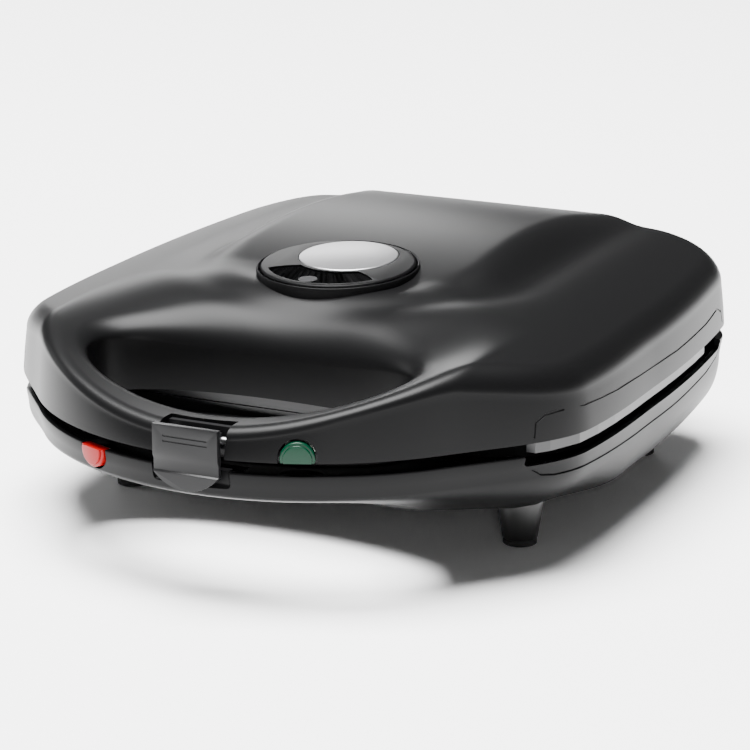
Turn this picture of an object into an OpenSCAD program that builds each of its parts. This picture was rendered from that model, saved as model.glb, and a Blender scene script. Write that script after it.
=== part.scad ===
// Clam-shell ring-cake maker: a low table appliance with a domed lid hinged at the
// back, a finger opening at the front, ring moulds inside and a clip that holds it shut.
// +X is the object's right, -Y its front, +Z up; all sizes in millimetres.

/* [Body] */
// width across the cooking body at the lid's lower edge
body_w = 217; // [180:1:260]
// from the dial-side origin line back to the rear wall
rear_reach = 115.5; // [95:1:135]
// from the origin line forward to the front wall of the cooking body
body_reach = 87; // [70:1:100]
// from the origin line forward to the outside of the grip bar
grip_reach = 138; // [120:1:160]
// radius of the round grip bar in plan
grip_r = 98; // [85:1:110]
// wall thickness of the moulded covers
wall = 2.4; // [1.6:0.1:3.2]

/* [Heights] */
// underside of the base above the table
floor_z = 16; // [12:1:24]
// top edge of the base
base_edge_z = 44.5; // [38:0.5:52]
// gap between the base edge and the lid edge
edge_gap = 4.3; // [3:0.1:6]
// crown of the lid above the lid edge
lid_rise = 41; // [34:0.5:48]
// how much lower the side wings start than the raised middle
wing_fall = 2; // [0.5:0.5:6]

/* [Moulds] */
// spacing of the ring moulds across the plate
mould_pitch_x = 60; // [54:1:66]
// spacing of the ring moulds from front to back
mould_pitch_y = 74; // [66:1:80]
// radius from a mould's middle to the middle of its ring channel
ring_r = 17.5; // [14:0.5:20]
// radius of the ring channel's round section
channel_r = 10; // [7:0.5:12]
// gap between the two plates when shut
plate_gap = 0.4; // [0.3:0.1:2]
// diameter of the tubular heaters
heater_d = 6.5; // [5:0.1:8]

/* [Fits] */
// diameter of the two hinge pins
hinge_pin_d = 4; // [3:0.1:5]
// radial running clearance in the hinge knuckles
hinge_clear = 0.05; // [0.02:0.01:0.1]
// diameter of the latch pivot pin
latch_pin_d = 2.5; // [2:0.1:4]
// radial running clearance of the latch and of the dial shaft
turn_clear = 0.05; // [0.02:0.01:0.1]
// diameter of the dial shaft
dial_shaft_d = 6; // [4:0.1:8]
// diameter of the dial
dial_d = 54.4; // [48:0.2:62]

/* [Hidden] */

$fn = 48;
eps = 0.01;
ray_count = 96;
half_w = body_w / 2;
lid_edge_z = base_edge_z + edge_gap;
crown_z = lid_edge_z + lid_rise;
body_mid_y = (rear_reach - body_reach) / 2;
body_half_y = (rear_reach + body_reach) / 2;
grip_mid_y = grip_r - grip_reach;
side_curve = 1200;
rear_curve = 1500;
side_mid_y = 8;
rear_corner_r = 22;
front_corner_r = 25;
neck_blend = 20;

// finger opening
hole_y = -92;
hole_half_w = 59;
hole_front = 28;
hole_rear = 22;
hole_power = 2.2;

// lid skin
lid_draft = 1.6;
lid_shoulder = 7;
shoulder_run = 8;
crown_y = 35;
spine_curve = 0.00153;
bar_top = 54.5;

// base skin
base_inset = 0.3;
base_wall_z = 37;
grip_floor_rise = 17.5;

// hinge line and the centring of the whole object on its own middle
hinge_y = rear_reach + 6;
hinge_z = lid_edge_z - 1.8;
knuckle_r = 4.5;
latch_depth = 2.2;
front_end = grip_reach + latch_depth;
rear_end = hinge_y + knuckle_r;
centre_y = (front_end - rear_end) / 2;

// plates
plate_face_low = (base_edge_z + lid_edge_z) / 2 - plate_gap / 2;
plate_face_up = plate_face_low + plate_gap;
plate_t = 3;
plate_half_x = 97;
plate_half_y = 83;
plate_mid_y = 20.5;
plate_corner = 34;
frame_t = 2.4;
frame_gap = 0.4;
mould_wall = 2.2;
sink = 1;
heater_x = plate_half_x - 3.5;
heater_run_y = (mould_pitch_y + ring_r * 2 + channel_r * 2 + mould_wall * 2) / 2 + heater_d / 2 + 1.1;
elbow_r = 22;
heater_low_z = plate_face_low - plate_t - heater_d / 2;
heater_up_z = plate_face_up + plate_t + heater_d / 2;
shield_t = 0.8;
shield_low_z = plate_face_low - sink - channel_r - mould_wall - 4;
shield_up_z = plate_face_up + sink + channel_r + mould_wall + 2;

// dial, tilted with the lid
dial_y = -25;
spine_front = crown_z - spine_curve * pow(dial_y - crown_y, 2);
dial_tilt = 3.5;
dial_h = 3.5;
dial_r = dial_d / 2;
seat_r = dial_r + 1.4;
dial_base_z = spine_front - 1.5;
insert_y = 8.4;
insert_r = 17.8;

// lamps and latch
lamp_x = 37.7;
lamp_r = 6.2;
lamp_lift = 1.4;
latch_x = 2.5;
latch_half = 11.8;
tab_r = 15.2;
latch_low_z = 37.6;
latch_top_z = lid_edge_z + 10;
latch_slot_top = lid_edge_z + 12;
latch_pivot_z = lid_edge_z + 4.7;
latch_pivot_y = 6.2 - grip_reach;

module place() translate([0, centre_y, 0]) children();
module at_latch() translate([latch_x, 0, 0]) children();

// ---- plan shape: a rounded cooking body blended into a round grip ----
function soft(t) = let(u = max(0, min(1, t))) u * u * (3 - 2 * u);
function body_field(x, y) =
    let(hx = half_w - pow(y - side_mid_y, 2) / side_curve,
        r = y > body_mid_y ? rear_corner_r : front_corner_r,
        qx = abs(x) - hx + r,
        qy = abs(y - body_mid_y) + x * x / rear_curve - body_half_y + r)
    norm([max(qx, 0), max(qy, 0)]) + min(max(qx, qy), 0) - r;
function grip_field(x, y) = norm([x, y - grip_mid_y]) - grip_r;
function field(x, y) =
    let(a = body_field(x, y), b = grip_field(x, y), h = max(neck_blend - abs(a - b), 0) / neck_blend)
    min(a, b) - h * h * neck_blend / 4;
function reach(a, level, lo = 5, hi = 280, n = 20) =
    let(m = (lo + hi) / 2)
    n == 0 ? m
    : field(m * cos(a), hole_y + m * sin(a)) > level ? reach(a, level, lo, m, n - 1)
    : reach(a, level, m, hi, n - 1);
function hole_reach(a) =
    let(side = sin(a) < 0 ? hole_front : hole_rear,
        u = pow(abs(cos(a)) / hole_half_w, hole_power) + pow(abs(sin(a)) / side, hole_power))
    pow(u, -1 / hole_power);
function ray_angle(i) = let(t = 360 * i / ray_count) t + 16 * sin(2 * t);
function at(a, r) = [r * cos(a), hole_y + r * sin(a)];
function outline(level) = [for (i = [0 : ray_count - 1]) let(a = ray_angle(i)) at(a, reach(a, level))];
function hole_line(grow) = [for (i = [0 : ray_count - 1]) let(a = ray_angle(i)) at(a, hole_reach(a) + grow)];

// ---- lid top surface ----
function spine(y) =
    y > dial_y ? crown_z - spine_curve * pow(y - crown_y, 2) : spine_front + 0.11 * (y - dial_y);
function wing(x, y) =
    let(w = crown_z - wing_fall - 0.0002 * pow(y - crown_y, 2) - 0.00155 * x * x,
        d = max(0, w - bar_top - 0.0033 * x * x))
    w - soft((-35 - y) / 75) * d * d / (d + 4);
function plateau_dist(x, y) = norm([x, min(0, (y + 2) * 1.1)]) - 52;
function lid_top(x, y) =
    let(p = plateau_dist(x, y), m = 1 - soft((p + 9) / 18), w = wing(x, y))
    w + (spine(y) - w) * m - 1.6 * exp(-pow((p - 9) / 9, 2));
function rear_share(a) = soft((sin(a) + 0.35) / 1.2);
function lip_drop(a, e) =
    let(run = 4 + 14 * rear_share(a), deep = 1 + 9 * rear_share(a), u = max(0, 1 - e / run))
    deep * (1 - sqrt(max(0, 1 - u * u)));
function edge_drop(d, f) =
    let(u = max(0, 1 - d / (shoulder_run - 3 * f))) (lid_shoulder - 3 * f) * (1 - sqrt(max(0, 1 - u * u)));
function lid_z(x, y, a, e) =
    lid_top(x, y) - lip_drop(a, e) - edge_drop(-field(x, y) - lid_draft, soft((-92 - y) / 32));

// ---- underside of the base ----
function forward(y) = soft((-60 - y) / 65);
function base_z(x, y, e) =
    let(f = forward(y), z0 = floor_z + grip_floor_rise * f, run = 13 + 37 * soft((-10 - y) / 60) - 40 * f,
        d = max(0, 1 - (-field(x, y) - 1.5) / run), h = max(0, 1 - e / 3))
    z0 + (base_wall_z - z0) * (1 - sqrt(max(0, 1 - d * d))) + 2 * (1 - sqrt(max(0, 1 - h * h)));

// steps from the opening (0) to the outer shoulder (1)
STEPS = [for (k = [0 : 17]) (1 - cos(180 * k / 17)) / 2];
function between(s, grow, level, i) =
    let(a = ray_angle(i), r0 = hole_reach(a) + grow, r1 = reach(a, level)) r0 + (r1 - r0) * s;
function lid_ring(s, grow, level, down) =
    [for (i = [0 : ray_count - 1])
        let(a = ray_angle(i), r = between(s, grow, level, i), p = at(a, r))
        [p.x, p.y, lid_z(p.x, p.y, a, r - hole_reach(a)) - down]];
function base_ring(s, grow, level, up) =
    [for (i = [0 : ray_count - 1])
        let(a = ray_angle(i), r = between(s, grow, level, i), p = at(a, r))
        [p.x, p.y, base_z(p.x, p.y, r - hole_reach(a)) + up]];
function flat_ring(line, z) = [for (p = line) [p.x, p.y, z]];

// closed skin from rings that follow one another around the section
module ring_skin(rings) {
    m = len(rings);
    pts = [for (ring = rings) each ring];
    faces = [for (j = [0 : m - 1], i = [0 : ray_count - 1])
        let(k = (j + 1) % m, n = (i + 1) % ray_count,
            a = j * ray_count + i, b = j * ray_count + n, c = k * ray_count + n, d = k * ray_count + i)
        each [[a, b, c], [a, c, d]]];
    polyhedron(points = pts, faces = faces, convexity = 8);
}
function turned(list) = [for (i = [len(list) - 1 : -1 : 0]) list[i]];

// ---- shared small shapes ----
module slab(hx, hy, r, z0, h, mid_y = plate_mid_y)
    translate([0, mid_y, z0]) linear_extrude(h) union() {
        square([2 * hx - 2 * r, 2 * hy], center = true);
        square([2 * hx, 2 * hy - 2 * r], center = true);
        for (sx = [-1, 1], sy = [-1, 1]) translate([sx * (hx - r), sy * (hy - r)]) circle(r, $fn = 64);
    }
module moulds()
    for (ix = [-1 : 1], iy = [-1, 1])
        translate([ix * mould_pitch_x, plate_mid_y + iy * mould_pitch_y / 2, 0]) children();
module channel(r) rotate_extrude($fn = 64) translate([ring_r, 0]) circle(r, $fn = 32);
module corners(x, y0, y1) for (sx = [-1, 1], y = [y0, y1]) translate([sx * x, y, 0]) children();
module rod(r, h) cylinder(r = r, h = h, $fn = 32);
module along_x(x0, x1, y, z, r) translate([x0, y, z]) rotate([0, 90, 0]) rod(r, x1 - x0);
module post(r, bore, h) difference() { rod(r, h); translate([0, 0, -eps]) rod(bore, h + 2 * eps); }
module pan_head(r, shank, length) {
    rod(r, 1.8);
    translate([0, 0, 1.8 - eps]) rod(shank, length + eps);
}

// ---- base ----
post_x = 76;
foot_front_y = -39.6;
foot_rear_y = 74;
post_r = 4.2;
screw_r = 1.6;
window_z = base_edge_z - 3.6;
window_front = -80;
window_run = 164;

module base_skin() ring_skin(concat(
    [flat_ring(outline(-base_inset), base_edge_z), flat_ring(outline(-1.1), base_wall_z + 3)],
    [for (s = turned(STEPS)) base_ring(s, 0, -1.5, 0)],
    [flat_ring(hole_line(0), base_edge_z), flat_ring(hole_line(wall), base_edge_z)],
    [for (s = STEPS) base_ring(s, wall, -1.5 - wall, wall)],
    [flat_ring(outline(-1.1 - wall), base_wall_z + 3), flat_ring(outline(-base_inset - wall), base_edge_z)]));

module base_housing() color([0.03, 0.03, 0.035]) place() difference() {
    union() {
        base_skin();
        corners(post_x, foot_front_y, foot_rear_y)
            translate([0, 0, floor_z + 1.2]) post(post_r, screw_r, shield_low_z - floor_z - 1.2);
    }
    for (sx = [-1, 1]) translate([sx * (half_w + 2) - 14, window_front, window_z]) cube([28, window_run, 10]);
    corners(post_x, foot_front_y, foot_rear_y) translate([0, 0, floor_z - 2]) rod(screw_r, 8);
    translate([inlet_x, rear_reach - 12, inlet_z]) rotate([-90, 0, 0]) rod(inlet_r + 0.05, 20);
    post_spots() translate([0, 0, floor_z - 2]) rod(screw_r, 8);
    ear_sites() translate([-0.1, hinge_y - 12.1, hinge_z - 13.1]) cube([ear_t + 0.2, 20, 30]);
    at_latch() {
        translate([-latch_half - 1.2, -grip_reach - 5, latch_low_z - 1.2]) cube([2 * latch_half + 2.4, 8.4, 20]);
        translate([-latch_half - 1.1, -grip_reach - 5, latch_low_z - 0.05])
            cube([2 * latch_half + 2.2, 11.3, 20]);
    }
    lamp_site(-1) translate([0, 12, base_edge_z - lamp_lift]) rotate([90, 0, 0]) rod(lamp_r + 0.1, 20);
}
inlet_x = 0;
inlet_z = 31;
inlet_r = 6;
lamp_front_y = grip_mid_y - sqrt(grip_r * grip_r - lamp_x * lamp_x);
lamp_turn = asin(lamp_x / grip_r);

module grip_plate(z) linear_extrude(1.6) difference() {
    intersection() {
        polygon(outline(-lid_draft - wall - 0.2));
        translate([-120, -grip_reach]) square([240, grip_reach - 91]);
    }
    polygon(hole_line(wall + 0.2));
    translate([latch_x - latch_half - 4, -grip_reach]) square([2 * latch_half + 8, 12]);
    for (sx = [-1, 1]) translate([sx * lamp_x, lamp_front_y + 2]) circle(lamp_r + 2);
}
module base_grip_cover() color([0.05, 0.05, 0.05]) place()
    translate([0, 0, base_edge_z - 2.4]) grip_plate();

module feet() color([0.04, 0.04, 0.04]) place()
    corners(post_x, foot_front_y, foot_rear_y) difference() {
        translate([0, 0, 2]) cylinder(r1 = 6, r2 = 8.2, h = floor_z - 2, $fn = 48);
        translate([0, 0, 1]) rod(3.4, 8);
        rod(screw_r + 0.2, floor_z + 2);
    }
module foot_pads() color([0.09, 0.09, 0.09]) place()
    corners(post_x, foot_front_y, foot_rear_y) {
        cylinder(r = 5.8, h = 2, $fn = 48);
        translate([0, 0, 2 - eps]) rod(3.3, 1.5);
    }
module plate_ring(z, h) difference() {
    grown_slab(frame_gap + frame_t, z, h);
    grown_slab(frame_gap, z - 1, h + 2);
}
module grown_slab(g, z, h) slab(plate_half_x + g, plate_half_y + g, plate_corner + g, z, h);
module base_frame() color([0.06, 0.06, 0.065]) place() plate_ring(base_edge_z - 7.5, 6.5);
module lower_plate() color([0.13, 0.12, 0.12]) place() difference() {
    union() {
        slab(plate_half_x, plate_half_y, plate_corner, plate_face_low - plate_t, plate_t);
        moulds() translate([0, 0, plate_face_low - sink]) intersection() {
            channel(channel_r + mould_wall);
            translate([0, 0, -20 + sink - eps]) cylinder(r = 60, h = 20);
        }
        post_spots() translate([0, 0, plate_face_low - plate_t - 3]) rod(4, 3 + eps);
    }
    moulds() translate([0, 0, plate_face_low - sink]) channel(channel_r);
    moulds() translate([0, 0, plate_face_low - sink]) post(ring_r + channel_r, ring_r - channel_r, 5);
    post_spots() translate([0, 0, plate_face_low - plate_t - 4]) rod(1.5, 5);
}
module post_spots()
    for (x = [-mould_pitch_x / 2, mould_pitch_x / 2], sy = [-1, 1])
        translate([x, plate_mid_y + sy * post_dy, 0]) children();
post_dy = mould_pitch_y / 2 + 24;

module heater_path(z) {
    y1 = plate_mid_y + heater_run_y;
    y0 = plate_mid_y - heater_run_y;
    straight = heater_x - elbow_r;
    r = heater_d / 2;
    along_x(-60, straight, y1, z, r);
    along_x(-straight, straight, plate_mid_y, z, r);
    along_x(-straight, 60, y0, z, r);
    for (s = [-1, 1]) {
        far = plate_mid_y + s * (heater_run_y - elbow_r);
        near = plate_mid_y + s * elbow_r;
        translate([s * heater_x, min(far, near), z]) rotate([-90, 0, 0]) rod(r, abs(far - near));
        translate([s * straight, near, z]) elbow(s > 0 ? -90 : 90, r);
        translate([s * straight, far, z]) elbow(s > 0 ? 0 : 180, r);
        translate([-60 * s, plate_mid_y + s * heater_run_y, z]) rotate([0, -90 * s, 0]) rod(1.2, 8);
    }
}
module elbow(turn, r)
    rotate([0, 0, turn]) rotate_extrude(angle = 90, $fn = 64) translate([elbow_r, 0]) circle(r, $fn = 32);
module clip_spots() {
    for (x = [-45, 45]) translate([x, plate_mid_y, 0]) children();
    for (s = [-1, 1]) translate([0, plate_mid_y + s * heater_run_y, 0]) children();
}
module saddle(z, up) clip_spots() difference() {
    translate([-4, -4.3, up ? z - heater_d / 2 : z - heater_d / 2 - 1]) cube([8, 8.6, heater_d + 1]);
    along_x(-5, 5, 0, z, heater_d / 2 + 0.02);
}
module lower_heater() color([0.42, 0.42, 0.43]) place() heater_path(heater_low_z);
module heater_clips_low() color([0.6, 0.6, 0.6]) place() saddle(heater_low_z, false);

module pan(z, up) difference() {
    union() {
        slab(plate_half_x - 10, plate_half_y - 10, plate_corner - 10, z, shield_t);
        difference() {
            slab(plate_half_x - 10, plate_half_y - 10, plate_corner - 10, up ? z : z - 4, shield_t + 4);
            slab(plate_half_x - 10.8, plate_half_y - 10.8, plate_corner - 10.8, z - 9, 18);
        }
    }
    post_spots() translate([0, 0, z - 5]) rod(4.6, 10);
}
module lower_shield() color([0.62, 0.63, 0.64]) place() pan(shield_low_z, true);
module plate_posts_low() color([0.55, 0.55, 0.55]) place()
    post_spots() translate([0, 0, floor_z + wall]) post(4.2, 1.7, plate_face_low - plate_t - 3 - floor_z - wall);
module base_screws() color([0.5, 0.5, 0.52]) place() {
    post_spots() translate([0, 0, floor_z - 1.8]) pan_head(3.2, 1.5, plate_face_low - floor_z - 3);
    corners(post_x, foot_front_y, foot_rear_y) translate([0, 0, 4.2]) pan_head(3, 1.5, 18);
}
module thermal_cutout() color([0.75, 0.72, 0.66]) place() translate([-45, plate_mid_y, shield_low_z]) {
    translate([0, 0, -7]) rod(8, 7);
    translate([-12, -3, -1]) cube([24, 6, 1]);
    for (s = [-1, 1]) translate([s * 4 - 2, -0.4, -10]) cube([4, 0.8, 3.2]);
}
module terminal_block() color([0.8, 0.78, 0.72]) place() difference() {
    translate([inlet_x - 12, 70, floor_z + wall]) cube([24, 12, 8.5]);
    for (i = [-1 : 1]) translate([inlet_x + i * 7, 76, floor_z + wall + 2]) rod(1.8, 8);
}
module inlet_bush() color([0.07, 0.07, 0.07]) place() translate([inlet_x, inlet_face_y, inlet_z])
    rotate([-90, 0, 0]) difference() {
        union() {
            translate([0, 0, -7]) rod(inlet_r, 8.5);
            translate([0, 0, 1.4]) rod(inlet_r + 2.2, 2.2);
        }
        translate([0, 0, -8]) rod(4.2, 13);
    }
inlet_face_y = rear_reach - 2.4;

module lamp_site(side) translate([side * lamp_x, lamp_front_y, 0]) rotate([0, 0, side * lamp_turn]) children();
module lens(z, up) difference() {
    translate([0, 3.2, z]) rotate([90, 0, 0]) union() {
        rod(lamp_r, 3.2);
        translate([0, 0, 3.2 - eps]) rod(lamp_r - 1, 0.5);
    }
    translate([-lamp_r - 1, -3, up ? z - lamp_lift - lamp_r - 2 : z + lamp_lift - 0.4])
        cube([2 * lamp_r + 2, 8, lamp_r + 2.4]);
}
module lamp_bulb(z) translate([-4, 5.6, z]) rotate([0, 90, 0]) union() {
    rod(1.9, 8);
    translate([0, 0, 8]) sphere(1.9, $fn = 32);
}
module red_lamp_lens() color([0.8, 0.03, 0.03]) place() lamp_site(-1) lens(base_edge_z - lamp_lift, false);
module red_lamp() color([0.9, 0.5, 0.4]) place() lamp_site(-1) lamp_bulb(base_edge_z - 3.5);
module green_lamp_lens() color([0.02, 0.5, 0.3]) place() lamp_site(1) lens(lid_edge_z + lamp_lift, true);
module green_lamp() color([0.6, 0.9, 0.7]) place() lamp_site(1) lamp_bulb(lid_edge_z + 3.9);

// the keeper behind the notch in the base
module latch_catch() color([0.05, 0.05, 0.05]) place() at_latch() translate([0, -grip_reach, 0]) {
    translate([-latch_half - 1, 3.6, latch_low_z]) cube([2 * latch_half + 2, 2.6, base_edge_z - latch_low_z]);
    translate([-8, 1.6, base_edge_z - 2.2]) cube([16, 2.1, 2.2]);
}

// ---- hinge ----
knuckle_x = 48;
knuckle_half = 10;
ear_t = 5;
module ear_sites() for (s = [-1, 1], e = [-1, 1])
    translate([s * knuckle_x + e * (knuckle_half + 0.4 + ear_t / 2) - ear_t / 2, 0, 0]) children();
module hinge_ears() color([0.05, 0.05, 0.055]) place() ear_sites()
    difference() {
        union() {
            translate([0, hinge_y, hinge_z]) rotate([0, 90, 0]) rod(knuckle_r, ear_t);
            translate([0, hinge_y - 12, hinge_z - 13]) cube([ear_t, 12 + knuckle_r - 1, 11]);
            translate([0, hinge_y - 2, hinge_z - 4]) cube([ear_t, knuckle_r + 1.2, 4]);
        }
        translate([-1, hinge_y, hinge_z]) rotate([0, 90, 0]) rod(hinge_pin_d / 2, ear_t + 2);
    }
module hinge_pins() color([0.7, 0.7, 0.72]) place() for (s = [-1, 1])
    along_x(s * knuckle_x - knuckle_half - ear_t, s * knuckle_x + knuckle_half + ear_t, hinge_y, hinge_z,
            hinge_pin_d / 2);
module hinge_arms() color([0.05, 0.05, 0.055]) place() for (s = [-1, 1])
    translate([s * knuckle_x - knuckle_half, 0, 0]) difference() {
        union() {
            translate([0, hinge_y, hinge_z]) rotate([0, 90, 0]) rod(knuckle_r, 2 * knuckle_half);
            translate([0, hinge_y - 14.8, hinge_z + 2.2]) cube([2 * knuckle_half, 14.8, 2.3]);
            translate([0, hinge_y - 14.8, hinge_z + 2.2]) cube([2 * knuckle_half, 2.4, 12]);
        }
        translate([-1, hinge_y, hinge_z]) rotate([0, 90, 0]) rod(hinge_pin_d / 2 + hinge_clear, 2 * knuckle_half + 2);
        for (dx = [5, 15]) translate([dx, hinge_y - 16, hinge_z + 10]) rotate([-90, 0, 0]) rod(1.5, 6);
    }
module hinge_screws() color([0.5, 0.5, 0.52]) place() for (s = [-1, 1], dx = [-5, 5])
    translate([s * knuckle_x + dx, hinge_y - 16.6, hinge_z + 10]) rotate([-90, 0, 0]) pan_head(2.8, 1.45, 3.6);

// ---- lid ----
module lid_skin() ring_skin(turned(concat(
    [flat_ring(outline(0), lid_edge_z), lid_wall_ring(0)],
    [for (s = turned(STEPS)) lid_ring(s, 0, -lid_draft, 0)],
    [flat_ring(hole_line(0), lid_edge_z), flat_ring(hole_line(wall), lid_edge_z)],
    [for (s = STEPS) lid_ring(s, wall, -lid_draft - wall, wall)],
    [lid_wall_ring(wall), flat_ring(outline(-wall), lid_edge_z)])));
function lid_wall_ring(inset) =
    [for (i = [0 : ray_count - 1])
        let(a = ray_angle(i), p = at(a, reach(a, -lid_draft * 0.5 - inset)),
            q = at(a, reach(a, -lid_draft - inset)), e = reach(a, -lid_draft - inset) - hole_reach(a))
        [p.x, p.y, lid_edge_z * 0.35 + 0.65 * (lid_z(q.x, q.y, a, e) - inset)]];
module on_dial() translate([0, dial_y, dial_base_z]) rotate([dial_tilt, 0, 0]) children();
module lid_cover() color([0.03, 0.03, 0.035]) place() difference() {
    lid_skin();
    on_dial() translate([0, 0, -16]) cylinder(r = seat_r + 0.05, h = 30, $fn = 96);
    at_latch() {
        translate([-latch_half - 0.5, -grip_reach - 6, lid_edge_z - 1])
            cube([2 * latch_half + 1, 17.7, latch_slot_top - lid_edge_z + 1]);
        translate([-latch_half - 3.1, -grip_reach + 4.2, lid_edge_z - 1]) cube([2 * latch_half + 6.2, 7.5, 9]);
    }
    lamp_site(1) translate([0, 12, lid_edge_z + lamp_lift]) rotate([90, 0, 0]) rod(lamp_r + 0.1, 20);
    for (s = [-1, 1]) translate([s * knuckle_x, 0, 0]) {
        translate([-knuckle_half - 0.1, rear_reach - 12, lid_edge_z - 3]) cube([2 * knuckle_half + 0.2, 20, 5.9]);
        for (dx = [-5, 5]) translate([dx, hinge_y - 14, hinge_z + 10]) rotate([-90, 0, 0]) rod(1.5, 3);
    }
}
module lid_grip_cover() color([0.05, 0.05, 0.05]) place() translate([0, 0, lid_edge_z + 0.6]) grip_plate();
module side_rails() for (sx = [-1, 1]) {
    translate([0, 0, base_edge_z + 0.4]) linear_extrude(3.6) intersection() {
        difference() {
            polygon(outline(-1.2));
            polygon(outline(-3.8));
        }
        translate([sx * 105 - 15, -76]) square([30, 138]);
    }
    for (y = [-40, 0, 45]) translate([sx * (plate_half_x + 4.55) - 3.65, y - 3, base_edge_z + 0.4])
        cube([7.3, 6, 3.2]);
}
module lid_frame() color([0.07, 0.07, 0.075]) place() union() {
    plate_ring(base_edge_z - 0.6, 7.4);
    side_rails();
}
module upper_plate() color([0.13, 0.12, 0.12]) place() difference() {
    union() {
        slab(plate_half_x, plate_half_y, plate_corner, plate_face_up, plate_t);
        moulds() translate([0, 0, plate_face_up + sink]) intersection() {
            channel(channel_r + mould_wall);
            translate([0, 0, -sink + eps]) cylinder(r = 60, h = 20);
        }
        post_spots() translate([0, 0, plate_face_up + plate_t - eps]) rod(4, 3 + eps);
    }
    moulds() translate([0, 0, plate_face_up + sink]) channel(channel_r);
    moulds() translate([0, 0, plate_face_up + sink - 5]) post(ring_r + channel_r, ring_r - channel_r, 5);
    post_spots() translate([0, 0, plate_face_up + plate_t - 1]) rod(1.5, 5);
}
module upper_heater() color([0.42, 0.42, 0.43]) place() heater_path(heater_up_z);
module heater_clips_up() color([0.6, 0.6, 0.6]) place() saddle(heater_up_z, true);
module upper_shield() color([0.62, 0.63, 0.64]) place() pan(shield_up_z, false);
module plate_posts_up() color([0.55, 0.55, 0.55]) place()
    post_spots() translate([0, 0, plate_face_up + plate_t + 3])
        post(4.2, 1.7, shield_up_z + 1 - plate_face_up - plate_t);
module lid_screws() color([0.5, 0.5, 0.52]) place()
    post_spots() translate([0, 0, shield_up_z + 5.8]) rotate([180, 0, 0]) pan_head(3.2, 1.5, 13);

// ---- thermostat and dial ----
module thermostat() color([0.72, 0.7, 0.66]) place() on_dial() difference() {
    translate([-11, -9, -15]) cube([22, 18, 11]);
    translate([0, 0, -12]) rod(dial_shaft_d / 2 + turn_clear, 12);
}
module thermostat_bracket() color([0.62, 0.63, 0.64]) place() on_dial() difference() {
    translate([-19, -6, -4]) cube([38, 12, 1.2]);
    translate([0, 0, -5]) rod(dial_shaft_d / 2 + 1, 4);
}
module dial_seat() color([0.02, 0.02, 0.02]) place() on_dial() rotate_extrude($fn = 96) polygon([
    [dial_shaft_d / 2 + turn_clear, -2.4], [seat_r - 1, -2.4], [seat_r, -3.2], [seat_r, dial_h - 0.8],
    [seat_r - 0.8, dial_h], [dial_r + 0.5, dial_h], [dial_r + 0.5, 0], [dial_shaft_d / 2 + turn_clear, 0]]);
module dial() color([0.02, 0.02, 0.022]) place() on_dial() difference() {
    rotate_extrude($fn = 96)
        polygon([[0, 0.35], [dial_r, 0.35], [dial_r, dial_h], [dial_r - 0.8, dial_h + 0.7], [0, dial_h + 0.7]]);
    translate([0, insert_y, dial_h - 1]) cylinder(r = insert_r, h = 5, $fn = 96);
    translate([0, 0, dial_h - 1.4]) linear_extrude(5) window_area();
    translate([0, 0, -1]) rod(dial_shaft_d / 2, dial_h);
}
module window_area() difference() {
    intersection() {
        circle(r = dial_r - 2.6, $fn = 96);
        translate([0, -30.5]) circle(r = 26, $fn = 96);
    }
    translate([0, insert_y]) circle(r = insert_r + 1.2, $fn = 96);
}
function dome(r) = dial_h + 1.7 - r * r / 220;
module dial_insert() color([0.75, 0.76, 0.78]) place() on_dial() translate([0, insert_y, 0])
    rotate_extrude($fn = 96) polygon(concat(
        [[0, dial_h - 1]], [for (k = [8 : -1 : 0]) let(r = (insert_r - 0.25) * k / 8) if (k == 8) [r, dial_h - 1]],
        [for (k = [8 : -1 : 0]) let(r = (insert_r - 0.25) * k / 8) [r, dome(r)]]));
module dial_window() color([0.12, 0.12, 0.13]) place() on_dial() {
    translate([0, 0, dial_h - 1.4]) linear_extrude(0.8) window_area();
    translate([0, 0, dial_h - 0.6 - eps]) linear_extrude(1.1) intersection() {
        window_area();
        translate([0, -20.5]) circle(r = 3.3);
    }
}
module dial_shaft() color([0.7, 0.7, 0.72]) place() on_dial()
    translate([0, 0, -11]) rod(dial_shaft_d / 2, 11 + dial_h - 1);

// ---- latch ----
module latch() color([0.09, 0.09, 0.095]) place() at_latch() {
    difference() {
        intersection() {
            translate([0, grip_mid_y, 0]) difference() {
                cylinder(r = grip_r + latch_depth, h = latch_top_z, $fn = 128);
                translate([0, 0, -1]) cylinder(r = grip_r - 0.2, h = latch_top_z + 2, $fn = 128);
            }
            translate([-latch_half, -grip_reach - 5, latch_low_z]) cube([2 * latch_half, 12, 40]);
            translate([0, 0, latch_low_z + tab_r]) rotate([90, 0, 0]) cylinder(r = tab_r, h = 200, $fn = 96);
        }
        for (dz = [0, 2.2]) translate([-8.5, -grip_reach - latch_depth - 0.6, latch_top_z - 6 + dz])
            cube([17, 1, 0.7]);
    }
    difference() {
        union() {
            along_x(-9, 9, latch_pivot_y, latch_pivot_z, 2.4);
            translate([-9, -grip_reach, latch_pivot_z - 1.5]) cube([18, 6.2, 3]);
        }
        along_x(-10, 10, latch_pivot_y, latch_pivot_z, latch_pin_d / 2 + turn_clear);
    }
    translate([-7, -grip_reach, latch_low_z + 3]) cube([14, 1.2, 2]);
}
module latch_pin() color([0.7, 0.7, 0.72]) place() at_latch()
    along_x(-latch_half - 2.8, latch_half + 2.8, latch_pivot_y, latch_pivot_z, latch_pin_d / 2);
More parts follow.
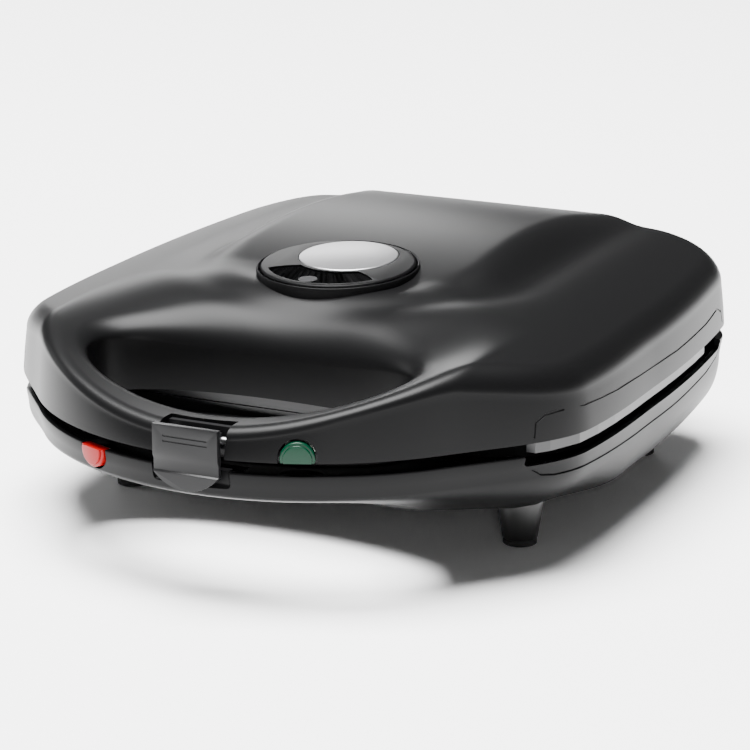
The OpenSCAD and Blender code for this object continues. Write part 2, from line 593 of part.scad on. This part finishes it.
module latch_mount() color([0.05, 0.05, 0.05]) place() at_latch() difference() {
    translate([0, -grip_reach, lid_edge_z + 0.6]) union() {
        translate([-latch_half - 3, 4.4, 0]) cube([2 * latch_half + 6, 7.2, 7.4]);
        translate([-latch_half - 0.4, 9.6, 0]) cube([2 * latch_half + 0.8, 2, 7.6]);
    }
    translate([-latch_half - 0.6, -grip_reach + 2, lid_edge_z - 1]) cube([2 * latch_half + 1.2, 7.6, 20]);
    along_x(-20, 20, latch_pivot_y, latch_pivot_z, latch_pin_d / 2);
}

base_housing();
base_grip_cover();
feet();
foot_pads();
base_frame();
lower_plate();
lower_heater();
heater_clips_low();
lower_shield();
plate_posts_low();
thermal_cutout();
terminal_block();
inlet_bush();
red_lamp_lens();
red_lamp();
latch_catch();
base_screws();
hinge_ears();
hinge_pins();
hinge_screws();
lid_cover();
lid_grip_cover();
lid_frame();
upper_plate();
upper_heater();
heater_clips_up();
upper_shield();
plate_posts_up();
lid_screws();
hinge_arms();
thermostat();
thermostat_bracket();
dial_seat();
dial();
dial_insert();
dial_window();
dial_shaft();
green_lamp_lens();
green_lamp();
latch();
latch_pin();
latch_mount();
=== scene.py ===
import math

import bpy
import numpy as np
from mathutils import Matrix, Vector


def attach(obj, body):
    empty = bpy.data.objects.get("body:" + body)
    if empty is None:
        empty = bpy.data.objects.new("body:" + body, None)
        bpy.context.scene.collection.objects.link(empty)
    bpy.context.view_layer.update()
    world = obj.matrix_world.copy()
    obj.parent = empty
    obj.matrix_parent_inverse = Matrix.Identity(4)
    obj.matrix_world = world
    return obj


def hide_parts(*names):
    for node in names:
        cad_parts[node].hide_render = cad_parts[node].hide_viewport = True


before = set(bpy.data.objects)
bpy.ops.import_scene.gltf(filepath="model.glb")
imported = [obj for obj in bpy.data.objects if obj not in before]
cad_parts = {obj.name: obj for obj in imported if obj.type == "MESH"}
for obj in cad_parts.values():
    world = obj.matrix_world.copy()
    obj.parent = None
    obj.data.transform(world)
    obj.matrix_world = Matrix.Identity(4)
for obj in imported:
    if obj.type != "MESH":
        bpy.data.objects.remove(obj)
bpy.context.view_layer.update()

# Camera: a long lens a metre away, a little above the machine and turned round towards its
# right side, so that the front, the right flank and the top are all seen.
CAMERA_TURN = math.radians(25.7)
CAMERA_RISE = math.radians(16.0)
CAMERA_AWAY = 1.0563
LOOK_AT = Vector((0.0021, 0.0071, 0.0399))
lens_side = Vector((math.cos(CAMERA_TURN), math.sin(CAMERA_TURN), 0.0))
lens_back = Vector((math.sin(CAMERA_TURN) * math.cos(CAMERA_RISE),
                    -math.cos(CAMERA_TURN) * math.cos(CAMERA_RISE), math.sin(CAMERA_RISE)))
camera_data = bpy.data.cameras.new("camera")
camera_data.lens = 140.96
camera_data.sensor_width = 36.0
camera = bpy.data.objects.new("camera", camera_data)
bpy.context.scene.collection.objects.link(camera)
camera.matrix_world = Matrix.Translation(LOOK_AT + lens_back * CAMERA_AWAY) @ Matrix((
    (lens_side.x, lens_back.cross(lens_side).x, lens_back.x),
    (lens_side.y, lens_back.cross(lens_side).y, lens_back.y),
    (lens_side.z, lens_back.cross(lens_side).z, lens_back.z))).to_4x4()
bpy.context.scene.camera = camera

# Studio: a white table top under a large overhead light, a bright card low behind the machine
# that the raised middle of the lid mirrors, two weak strips at the left and in front, and dim
# surroundings that keep the sides dark.


def surface(name, colour, roughness, metal=0.0, shine=0.5, glow=None):
    finish = bpy.data.materials.new(name)
    finish.use_nodes = True
    shader = finish.node_tree.nodes["Principled BSDF"]
    shader.inputs["Base Color"].default_value = (*colour, 1.0)
    shader.inputs["Roughness"].default_value = roughness
    shader.inputs["Metallic"].default_value = metal
    shader.inputs["Specular IOR Level"].default_value = shine
    if glow:
        shader.inputs["Emission Color"].default_value = (*glow, 1.0)
        shader.inputs["Emission Strength"].default_value = 1.0
    return finish


bpy.ops.mesh.primitive_plane_add(size=9.0, location=(0.0, 0.0, -0.0002))
table_top = bpy.context.active_object
table_top.name = "table_top"
table_top.data.materials.append(surface("pale_table", (0.95, 0.95, 0.95), 0.9, shine=0.1))
world = bpy.data.worlds.new("studio")
world.use_nodes = True
world.node_tree.nodes["Background"].inputs["Color"].default_value = (1.0, 1.0, 1.0, 1.0)
world.node_tree.nodes["Background"].inputs["Strength"].default_value = 0.12
bpy.context.scene.world = world


def soft_box(name, place, aim, width, height, power):
    lamp_data = bpy.data.lights.new(name, "AREA")
    lamp_data.shape = "RECTANGLE"
    lamp_data.size = width
    lamp_data.size_y = height
    lamp_data.energy = power
    lamp = bpy.data.objects.new(name, lamp_data)
    lamp.location = place
    lamp.rotation_euler = (Vector(aim) - Vector(place)).to_track_quat("-Z", "Y").to_euler()
    bpy.context.scene.collection.objects.link(lamp)


soft_box("overhead", (-0.35, -0.2, 3.0), (0.0, 0.0, 0.0), 2.2, 2.2, 640.0)
soft_box("back_card", (-1.3, 1.95, 0.68), (0.0, 0.0, 0.05), 0.9, 0.4, 10.0)
soft_box("left_strip", (-1.5, 0.0, 0.6), (0.0, 0.0, 0.06), 0.5, 0.7, 3.0)
soft_box("front_strip", (0.9, -1.6, 0.5), (0.0, 0.0, 0.05), 0.25, 0.6, 4.0)

# Base housing: the lower half of the shell, a bowl injection moulded in satin black plastic. It is
# shallow under the grip, has a finger opening, a lowered window in each side edge, a notch for
# the clip, a hole for the red lamp and openings at the back for the hinge ears and the cord.
MM = 0.001  # every size below is in millimetres
half_width, rear_wall, body_front, grip_front, grip_radius = 108.5, 115.5, 87.0, 138.0, 98.0
side_curve, rear_curve, side_middle = 1200.0, 1500.0, 8.0
rear_corner, front_corner, neck = 22.0, 25.0, 20.0
grip_middle = grip_radius - grip_front
body_middle, body_half = (rear_wall - body_front) / 2, (rear_wall + body_front) / 2
opening_y, opening_half, opening_front, opening_rear, opening_power = -92.0, 59.0, 28.0, 22.0, 2.2
wall = 2.4
shift_y = 7.1  # from the middle of the plates to the middle of the whole machine


def distance_out(x, y):
    """Distance outside the plan outline, negative inside."""
    half = half_width - (y - side_middle) ** 2 / side_curve
    corner = np.where(y > body_middle, rear_corner, front_corner)
    across = np.abs(x) - half + corner
    along = np.abs(y - body_middle) + x * x / rear_curve - body_half + corner
    body = (np.hypot(np.maximum(across, 0), np.maximum(along, 0))
            + np.minimum(np.maximum(across, along), 0) - corner)
    grip = np.hypot(x, y - grip_middle) - grip_radius
    meet = np.maximum(neck - np.abs(body - grip), 0) / neck
    return np.minimum(body, grip) - meet * meet * neck / 4


def reach(turn, level):
    """How far from the opening's middle each ray meets the outline moved out by level."""
    low, high = np.full_like(turn, 5.0), np.full_like(turn, 280.0)
    for _ in range(30):
        middle = (low + high) / 2
        outside = distance_out(middle * np.cos(turn), opening_y + middle * np.sin(turn)) > level
        low, high = np.where(outside, low, middle), np.where(outside, middle, high)
    return (low + high) / 2


def soft(value):
    """Eases from 0 to 1."""
    value = np.clip(value, 0, 1)
    return value * value * (3 - 2 * value)


def quarter_round(share):
    """A quarter circle's rise, from 0 at a share of 0 to 1 at a share of 1."""
    return 1 - np.sqrt(np.maximum(0, 1 - np.clip(share, 0, 1) ** 2))


# Rays run out from the middle of the finger opening, closer together where the wall turns sharply.
rays, ray_bunching = 480, math.radians(16)
ray = 2 * math.pi * np.arange(rays) / rays
ray = ray + ray_bunching * np.sin(2 * ray)
ray_x, ray_y = np.cos(ray), np.sin(ray)
opening_side = np.where(ray_y < 0, opening_front, opening_rear)
opening_edge = ((np.abs(ray_x) / opening_half) ** opening_power
                + (np.abs(ray_y) / opening_side) ** opening_power) ** (-1 / opening_power)


def ring(distance, height):
    """One point on each ray, at its distance from the opening's middle and its height."""
    return np.column_stack([distance * ray_x, opening_y + distance * ray_y, height + 0 * distance])


def choose(piece):
    """Selects one piece and nothing else."""
    bpy.ops.object.select_all(action="DESELECT")
    piece.select_set(True)
    bpy.context.view_layer.objects.active = piece


def face_outwards(piece):
    choose(piece)
    bpy.ops.object.mode_set(mode="EDIT")
    bpy.ops.mesh.select_all(action="SELECT")
    bpy.ops.mesh.normals_make_consistent(inside=False)
    bpy.ops.object.mode_set(mode="OBJECT")


def skin(name, rings, finish):
    """A closed moulded skin: each ring of points follows the last round the section of the wall."""
    points = np.concatenate(rings) * MM
    points[:, 1] += shift_y * MM
    count = len(rings)
    faces = [(step * rays + i, step * rays + (i + 1) % rays, (step + 1) % count * rays + (i + 1) % rays,
              (step + 1) % count * rays + i) for step in range(count) for i in range(rays)]
    mesh = bpy.data.meshes.new(name)
    mesh.from_pydata(points.tolist(), [], faces)
    mesh.materials.append(finish)
    made = bpy.data.objects.new(name, mesh)
    bpy.context.scene.collection.objects.link(made)
    face_outwards(made)
    return made


def slide(piece, x=0.0, y=0.0, z=0.0):
    """Moves a piece's mesh, leaving its object at the origin."""
    choose(piece)
    piece.location = (x * MM, y * MM, z * MM)
    bpy.ops.object.transform_apply(location=True, rotation=True, scale=True)
    return piece


def settle(piece, turn=(0, 0, 0), place=(0, 0, 0)):
    """Turns a piece and puts it at its place, leaving its object at the origin."""
    choose(piece)
    piece.rotation_euler = turn
    bpy.ops.object.transform_apply(location=True, rotation=True, scale=True)
    return slide(piece, place[0], place[1] + shift_y, place[2])


def round_edges(piece, width, sharper_than=40, segments=3):
    choose(piece)
    bevel = piece.modifiers.new("round", "BEVEL")
    bevel.width = width * MM
    bevel.segments = segments
    bevel.limit_method = "ANGLE"
    bevel.angle_limit = math.radians(sharper_than)
    bpy.ops.object.modifier_apply(modifier=bevel.name)


def block(name, low, high, rounding=0.0):
    """A cuboid between two corners."""
    bpy.ops.mesh.primitive_cube_add(size=1.0)
    made = bpy.context.active_object
    made.name = name
    made.scale = [(b - a) * MM for a, b in zip(low, high)]
    bpy.ops.object.transform_apply(location=False, rotation=False, scale=True)
    if rounding:
        round_edges(made, rounding, segments=5)
    return settle(made, place=[(a + b) / 2 for a, b in zip(low, high)])


def drum(name, radius, low, high, sides=96, top=None):
    """An upright round solid on its own axis."""
    bpy.ops.mesh.primitive_cone_add(vertices=sides, radius1=radius * MM, radius2=(top or radius) * MM,
                                    depth=(high - low) * MM, location=(0, 0, (low + high) / 2 * MM))
    made = bpy.context.active_object
    made.name = name
    bpy.ops.object.transform_apply(location=True, rotation=True, scale=True)
    return made


def combine(piece, tool, how="DIFFERENCE"):
    """Cuts, joins or trims a piece with a second solid, which is then thrown away."""
    choose(piece)
    step = piece.modifiers.new("cut", "BOOLEAN")
    step.operation = how
    step.solver = "EXACT"
    step.object = tool
    bpy.ops.object.modifier_apply(modifier=step.name)
    bpy.data.objects.remove(tool)


def dress(piece, finish, body, slot, *nodes, smooth=35):
    """Gives a new piece its finish, its smooth faces, its body and the CAD nodes it stands for."""
    piece.data.materials.clear()
    piece.data.materials.append(finish)
    face_outwards(piece)
    bpy.ops.object.shade_smooth_by_angle(angle=math.radians(smooth))
    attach(piece, body)
    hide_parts(*nodes)


def cut_line(shell, corners, half_thick=0.4):
    """Cuts a fine panel line into both side walls, through corners given as (y, z)."""
    for side in (-1, 1):
        path = []
        for (y0, z0), (y1, z1) in zip(corners, corners[1:]):
            path += [(y0 + (y1 - y0) * share, z0 + (z1 - z0) * share) for share in (0.0, 0.34, 0.67)]
        path.append(corners[-1])
        line = bpy.data.curves.new("panel_line", "CURVE")
        line.dimensions = "3D"
        line.bevel_depth = half_thick * MM
        line.bevel_resolution = 1
        line.use_fill_caps = True
        spline = line.splines.new("POLY")
        spline.points.add(len(path) - 1)
        for point, (y, z) in zip(spline.points, path):
            start = Vector((side * 150, y + shift_y, z)) * MM
            _, spot, _, _ = shell.ray_cast(start, Vector((-side, 0, 0)))
            point.co = (*spot, 1.0)
        tube = bpy.data.objects.new("panel_line", line)
        bpy.context.scene.collection.objects.link(tube)
        choose(tube)
        bpy.ops.object.convert(target="MESH")
        combine(shell, bpy.context.active_object)


def paint(finish, *nodes):
    """Gives CAD pieces that keep their own shape their finish."""
    for node in nodes:
        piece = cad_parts[node]
        piece.data.materials.clear()
        piece.data.materials.append(finish)


base_edge, base_wall, floor_height, grip_floor_rise, lean = 44.5, 37.0, 16.0, 17.5, 1.5


def base_height(distance):
    """Height of the outer underside: deep under the plates, shallow under the grip."""
    x, y = distance * ray_x, opening_y + distance * ray_y
    slim = soft((-60 - y) / 65)
    low = floor_height + grip_floor_rise * slim
    inward = -distance_out(x, y) - lean
    turn_up_run = 13 + 37 * soft((-10 - y) / 60) - 40 * slim
    turn_up = (base_wall - low) * quarter_round(1 - inward / turn_up_run)
    opening_lip = 2 * quarter_round(1 - (distance - opening_edge) / 3)
    return low + turn_up + opening_lip


def base_skin_rings(inset, steps):
    inner, outer = opening_edge + inset, reach(ray, -lean - inset)
    rings = []
    for share in steps:
        distance = inner + (outer - inner) * share
        rings.append(ring(distance, base_height(distance) + inset))
    return rings


shell_black = surface("shell_black", (0.003, 0.003, 0.0032), 0.36, shine=0.11)
fine_steps = (1 - np.cos(np.linspace(0, math.pi, 110))) / 2
rough_steps = (1 - np.cos(np.linspace(0, math.pi, 24))) / 2
base_rings = [ring(reach(ray, -0.9), base_edge), ring(reach(ray, -0.48), base_edge - 0.15),
              ring(reach(ray, -0.3), base_edge - 0.6), ring(reach(ray, -1.1), base_wall + 3)]
base_rings += base_skin_rings(0.0, fine_steps)[::-1]
base_rings += [ring(opening_edge, base_edge), ring(opening_edge + wall, base_edge)]
base_rings += base_skin_rings(wall, rough_steps) + [ring(reach(ray, -0.3 - wall), base_edge)]
base_shell = skin("base_shell", base_rings, shell_black)
combine(base_shell, block("side_window", (-125, -80, 40.9), (125, 84, 60), 1.5))
latch_x = 2.5  # the clip stands a little right of the middle
combine(base_shell, block("clip_notch", (latch_x - 14, -143, 38.6), (latch_x + 14, -134.6, 60), 1.6))
lamp_x, lamp_r, lamp_lift, lamp_gap = 37.7, 6.2, 1.4, 0.25
lamp_y = grip_middle - math.sqrt(grip_radius ** 2 - lamp_x ** 2)
lamp_turn = math.asin(lamp_x / grip_radius)
combine(base_shell, settle(drum("red_hole", lamp_r + lamp_gap, -12, 12), (math.pi / 2, 0, -lamp_turn),
                           (-lamp_x, lamp_y, base_edge - lamp_lift)))
cord_r, cord_z = 6.05, 31
combine(base_shell, settle(drum("cord_hole", cord_r, -10, 10), (math.pi / 2, 0, 0), (0, rear_wall, cord_z)))
hinge_x, ear_x, ear_half = 48, 12.9, 2.6
for side in (-1, 1):
    for ear in (-ear_x, ear_x):
        middle = side * hinge_x + ear
        combine(base_shell, block("ear_slot", (middle - ear_half, 109.4, 33.9), (middle + ear_half, 130, 60)))
cut_line(base_shell, [(-77.2, 39.6), (-74, 37.2), (-69.1, 36.4), (-47.5, 36.0), (-12.8, 35.4), (28.3, 35.4),
                      (67, 36.4), (82, 38.2), (86, 41.5)])
dress(base_shell, shell_black, "base", "body_black", "base_housing")

# Grip cover, clip keeper, hinge ears and cord bush: small black mouldings screwed inside the rim
# of the base, and a soft rubber bush pressed into the cord hole at the back.
inner_black = surface("inner_black", (0.004, 0.004, 0.0045), 0.55, shine=0.2)
paint(inner_black, "base_grip_cover", "latch_catch", "hinge_ears")
rubber = surface("rubber", (0.02, 0.02, 0.02), 0.85, shine=0.3)
paint(rubber, "inlet_bush")

# Feet: four short round cones moulded in black plastic and screwed to the floor of the base,
# each with a rubber pad pressed into its end.
foot_black = surface("foot_black", (0.006, 0.006, 0.006), 0.38)
foot_x, foot_front_y, foot_rear_y, pad_t = 76, -39.6, 74, 2.0
foot_places = [(side * foot_x, y) for y in (foot_front_y, foot_rear_y) for side in (-1, 1)]
for number, (x, y) in enumerate(foot_places, 1):
    foot = drum(f"foot_{number}", 6.0, pad_t, floor_height, 64, 8.2)
    combine(foot, drum("foot_socket", 3.4, 1.0, 9.0, 48))
    round_edges(foot, 0.5)
    settle(foot, place=(x, y, 0))
    pad = drum(f"foot_pad_{number}", 5.8, 0.0, pad_t, 64)
    round_edges(pad, 0.4)
    settle(pad, place=(x, y, 0))
    dress(foot, foot_black, "base", "foot_black", "feet")
    dress(pad, rubber, "base", "pad_rubber", "foot_pads")

# Plates, heaters and what holds them: two castings with ring moulds and a dark non-stick coat, a
# sheathed heater under each on spring clips, bright steel trays and screws, and ceramic blocks.
nonstick = surface("nonstick", (0.035, 0.034, 0.034), 0.36, metal=0.35)
paint(nonstick, "lower_plate", "upper_plate")
sheath = surface("heater_sheath", (0.3, 0.3, 0.31), 0.45, metal=1.0)
paint(sheath, "lower_heater", "upper_heater")
steel = surface("bright_steel", (0.62, 0.62, 0.63), 0.28, metal=1.0)
paint(steel, "heater_clips_low", "heater_clips_up", "lower_shield", "upper_shield", "plate_posts_low",
      "plate_posts_up", "thermostat_bracket", "base_screws", "hinge_screws", "hinge_pins", "lid_screws",
      "dial_shaft", "latch_pin")
ceramic = surface("ceramic", (0.72, 0.69, 0.62), 0.6)
paint(ceramic, "thermal_cutout", "terminal_block", "thermostat")

# Plate frames and the lid's inner mouldings: black heat-proof plastic. The lid's frame carries the
# rails that close the side windows, and the hinge arms and clip mount are screwed beside it.
frame_grey = surface("frame_grey", (0.02, 0.02, 0.021), 0.4)
paint(frame_grey, "base_frame", "lid_frame")
paint(inner_black, "lid_grip_cover", "hinge_arms", "latch_mount")

# Lid cover: the upper half of the shell, one domed moulding in the same satin black. It has a raised
# middle that carries the dial, soft valleys and side wings, a rounded shoulder, a low grip bar
# and a rolled lip round the finger opening.
lid_edge, crown, crown_y, dial_y = 48.8, 89.8, 35.0, -25.0
spine_curve, spine_slope, wing_fall, bar_top = 0.00153, 0.11, 2, 54.5
middle_r, middle_blend, valley_deep = 52, 9, 1.6
spine_front = crown - spine_curve * (dial_y - crown_y) ** 2
draft, shoulder, shoulder_run = 1.6, 7.0, 8.0


def lid_top(x, y):
    """Height of the dome, from a raised middle strip and two side wings that fall to the grip bar."""
    spine = np.where(y > dial_y, crown - spine_curve * (y - crown_y) ** 2,
                     spine_front + spine_slope * (y - dial_y))
    wing = crown - wing_fall - 0.0002 * (y - crown_y) ** 2 - 0.00155 * x * x
    over_bar = np.maximum(0, wing - bar_top - 0.0033 * x * x)
    wing = wing - soft((-35 - y) / 75) * over_bar ** 2 / (over_bar + 4)
    beside = np.hypot(x, np.minimum(0, (y + 2) * 1.1)) - middle_r
    middle = 1 - soft((beside + middle_blend) / (2 * middle_blend))
    valley = valley_deep * np.exp(-((beside - middle_blend) / middle_blend) ** 2)
    return wing + (spine - wing) * middle - valley


rearward = soft((ray_y + 0.35) / 1.2)  # 1 behind the opening, 0 at the grip bar


def lid_height(distance):
    """Height of the outer lid, with its lip round the opening and its rounded shoulder."""
    x, y = distance * ray_x, opening_y + distance * ray_y
    lip = (1 + 9 * rearward) * quarter_round(1 - (distance - opening_edge) / (4 + 14 * rearward))
    slim = soft((-92 - y) / 32)
    inward = -distance_out(x, y) - draft
    edge = (shoulder - 3 * slim) * quarter_round(1 - inward / (shoulder_run - 3 * slim))
    return lid_top(x, y) - lip - edge


def lid_skin_rings(inset, steps):
    inner, outer = opening_edge + inset, reach(ray, -draft - inset)
    rings = []
    for share in steps:
        distance = inner + (outer - inner) * share
        rings.append(ring(distance, lid_height(distance) - inset))
    return rings


lid_outside = lid_skin_rings(0.0, fine_steps)
wall_top = lid_outside[-1][:, 2]
lid_rings = [ring(reach(ray, -draft * share), lid_edge + (wall_top - lid_edge) * share ** 0.8)
             for share in (0.0, 0.03, 0.3, 0.6, 0.85)]
lid_rings += lid_outside[::-1]
lid_rings += [ring(opening_edge, lid_edge + 0.4), ring(opening_edge, lid_edge),
              ring(opening_edge + wall, lid_edge)]
lid_rings += lid_skin_rings(wall, rough_steps) + [ring(reach(ray, -wall), lid_edge)]
lid_shell = skin("lid_shell", lid_rings, shell_black)
collar_r, dial_tilt, dial_h, dial_base = 28.6, math.radians(3.5), 3.5, spine_front - 1.5
combine(lid_shell, settle(drum("dial_bore", collar_r + 0.05, -16, 14, 128), (dial_tilt, 0, 0),
                          (0, dial_y, dial_base)))
clip_slot_half, arm_slot_half = 12.3, 10.1
combine(lid_shell, block("clip_slot", (latch_x - clip_slot_half, -144, 40),
                         (latch_x + clip_slot_half, -126.3, 61), 0.5))
combine(lid_shell, settle(drum("green_hole", lamp_r + lamp_gap, -12, 12), (math.pi / 2, 0, lamp_turn),
                          (lamp_x, lamp_y, lid_edge + lamp_lift)))
for side in (-1, 1):
    middle = side * hinge_x
    combine(lid_shell, block("arm_slot", (middle - arm_slot_half, 103.5, 40),
                             (middle + arm_slot_half, 125, 51.7)))
cut_line(lid_shell, [(-77.8, 50.4), (-77.0, 55.4), (-73.6, 57.6), (-69.5, 58.0), (-32.7, 56.6), (26.5, 55.6),
                     (62, 56.2), (78, 57.4), (84, 55.2), (85.5, 50.6)])
dress(lid_shell, shell_black, "lid", "body_black", "lid_cover")

# Dial: a black collar pressed into the lid and a black moulded knob that turns inside it, with a
# satin silver disc glued in off centre and a dark crescent recess that holds a small tab.
dial_black = surface("dial_gloss", (0.003, 0.003, 0.0032), 0.4, shine=0.06)
dial_r, insert_y, insert_r = 27.2, 8.4, 17.8


def on_dial(piece):
    """Tilts a piece of the dial to the lid's slope and puts it at its place on the lid."""
    return settle(piece, (dial_tilt, 0, 0), (0, dial_y, dial_base))


collar = drum("dial_collar", collar_r, -3.2, dial_h, 160)
combine(collar, drum("collar_bore", dial_r + 0.5, 0.0, 9.0, 160))
combine(collar, drum("shaft_bore", 3.05, -9.0, 9.0, 48))
round_edges(collar, 0.45, 60)
dress(on_dial(collar), dial_black, "lid", "dial_gloss", "dial_seat")
knob = drum("dial_knob", dial_r, 0.35, dial_h + 0.7, 160)
round_edges(knob, 0.9, 60, 4)
seat = drum("insert_seat", insert_r, dial_h - 1, 9.0, 128)
combine(knob, slide(seat, y=insert_y))


def recess_shape(name, low, high):
    """The crescent in front of the silver disc."""
    made = drum(name, dial_r - 2.6, low, high, 128)
    front = drum("front_round", 26.0, low - 2, high + 2, 128)
    combine(made, slide(front, y=-30.5), "INTERSECT")
    inner = drum("inner_round", insert_r + 1.2, low - 2, high + 2, 128)
    combine(made, slide(inner, y=insert_y))
    return made


combine(knob, recess_shape("recess_cutter", dial_h - 1.4, 9.0))
dress(on_dial(knob), dial_black, "dial", "dial_gloss", "dial")
silver = surface("dial_silver", (0.42, 0.42, 0.43), 0.34, metal=1.0)
disc = drum("dial_disc", insert_r - 0.2, dial_h - 1, dial_h + 0.9, 128)
round_edges(disc, 0.5, 60, 3)
slide(disc, y=insert_y)
dress(on_dial(disc), silver, "dial", "dial_silver", "dial_insert")
window_grey = surface("window_grey", (0.012, 0.012, 0.013), 0.45, shine=0.06)
recess = recess_shape("dial_recess", dial_h - 1.4, dial_h - 0.6)
tab = drum("dial_tab", 3.3, dial_h - 1.0, dial_h + 0.5, 64)
slide(tab, -1.5, -20.5)
combine(tab, recess_shape("tab_limit", dial_h - 2, dial_h + 3), "INTERSECT")
combine(recess, tab, "UNION")
dress(on_dial(recess), window_grey, "dial", "window_grey", "dial_window")

# Lamp lenses: two half-round lenses moulded in coloured plastic with a stepped front, pressed in
# from behind, red hanging from the base edge and green standing on the lid edge.
lens_t, lens_over = 3.2, 20
red_look = (0.24, 0.002, 0.003), (0.03, 0.0, 0.0)
green_look = (0.0, 0.025, 0.011), (0.0, 0.002, 0.001)
for name, side, (colour, glow), height, flat, body, node in (
        ("red_lens", -1, red_look, base_edge - lamp_lift, 1, "base", "red_lamp_lens"),
        ("green_lens", 1, green_look, lid_edge + lamp_lift, -1, "lid", "green_lamp_lens")):
    lens = drum(name, lamp_r - 0.55, 0.0, lens_t, 96)
    crown_part = drum("lens_crown", lamp_r - 1.5, 2.0, 3.9, 96)
    round_edges(crown_part, 0.35, 60)
    round_edges(lens, 0.5, 60)
    combine(lens, crown_part, "UNION")
    settle(lens, (math.pi / 2, 0, side * lamp_turn), (side * lamp_x, lamp_y, height))
    slide(lens, -math.sin(lamp_turn) * side * lens_t, math.cos(lamp_turn) * lens_t)
    cut_z = height + flat * (lamp_lift - 0.2)
    low, high = (cut_z, cut_z + lens_over) if flat > 0 else (cut_z - lens_over, cut_z)
    combine(lens, block("lens_flat", (side * lamp_x - lens_over, lamp_y - lens_over, low),
                        (side * lamp_x + lens_over, lamp_y + lens_over, high)))
    dress(lens, surface(name, colour, 0.28, shine=0.2, glow=glow), body, name, node)
paint(surface("lamp_glass", (0.6, 0.6, 0.55), 0.2), "red_lamp", "green_lamp")

# Clip: one springy moulding in black plastic hung on a steel pin in the lid. It has two finger
# grooves near its top, a hollowed band across its middle and a round tab below it.
clip_black = surface("clip_black", (0.006, 0.006, 0.0065), 0.32, shine=0.2)
clip_half, clip_front, clip_back = 11.8, -140.2, -137.9
clip_low, clip_crease, clip_band, clip_top = 37.6, 43.5, 47.3, 58.8
tab_r, band_deep, pin_y, pin_z = 15.2, 0.7, 6.2 - grip_front, 53.5
clip = block("clip_plate", (-clip_half, clip_front, clip_low), (clip_half, clip_back, clip_top))
for height in (clip_crease - 0.5, clip_crease, clip_band, clip_band + 1.2):
    bpy.ops.object.mode_set(mode="EDIT")
    bpy.ops.mesh.select_all(action="SELECT")
    bpy.ops.mesh.bisect(plane_co=(0, 0, height * MM), plane_no=(0, 0, 1))
    bpy.ops.object.mode_set(mode="OBJECT")
bpy.ops.object.mode_set(mode="EDIT")
bpy.ops.mesh.select_mode(type="VERT")
bpy.ops.mesh.select_all(action="DESELECT")
bpy.ops.object.mode_set(mode="OBJECT")
for spot in clip.data.vertices:
    in_band = clip_crease - 0.1 < spot.co.z / MM < clip_band + 0.1
    spot.select = in_band and spot.co.y / MM < (clip_front + clip_back) / 2 + shift_y
bpy.ops.object.mode_set(mode="EDIT")
bpy.ops.transform.translate(value=(0, band_deep * MM, 0))
bpy.ops.object.mode_set(mode="OBJECT")
combine(clip, settle(drum("tab_round", tab_r, -200, 200, 160), (math.pi / 2, 0, 0),
                     (0, -138, clip_low + tab_r)), "INTERSECT")
for height in (-5.6, -3.9):
    combine(clip, block("groove", (-8.0, clip_front - 1, clip_top + height),
                        (8.0, clip_front + 0.4, clip_top + height + 0.6)))
round_edges(clip, 0.35, 50, 2)
combine(clip, block("clip_arm", (-9, -138.2, 52.0), (9, -131.8, 55.0)), "UNION")
combine(clip, settle(drum("clip_eye", 2.4, -9, 9, 48), (0, math.pi / 2, 0), (0, pin_y, pin_z)), "UNION")
combine(clip, settle(drum("pin_bore", 1.3, -12, 12, 48), (0, math.pi / 2, 0), (0, pin_y, pin_z)))
slide(clip, x=latch_x)
dress(clip, clip_black, "latch", "latch_black", "latch")
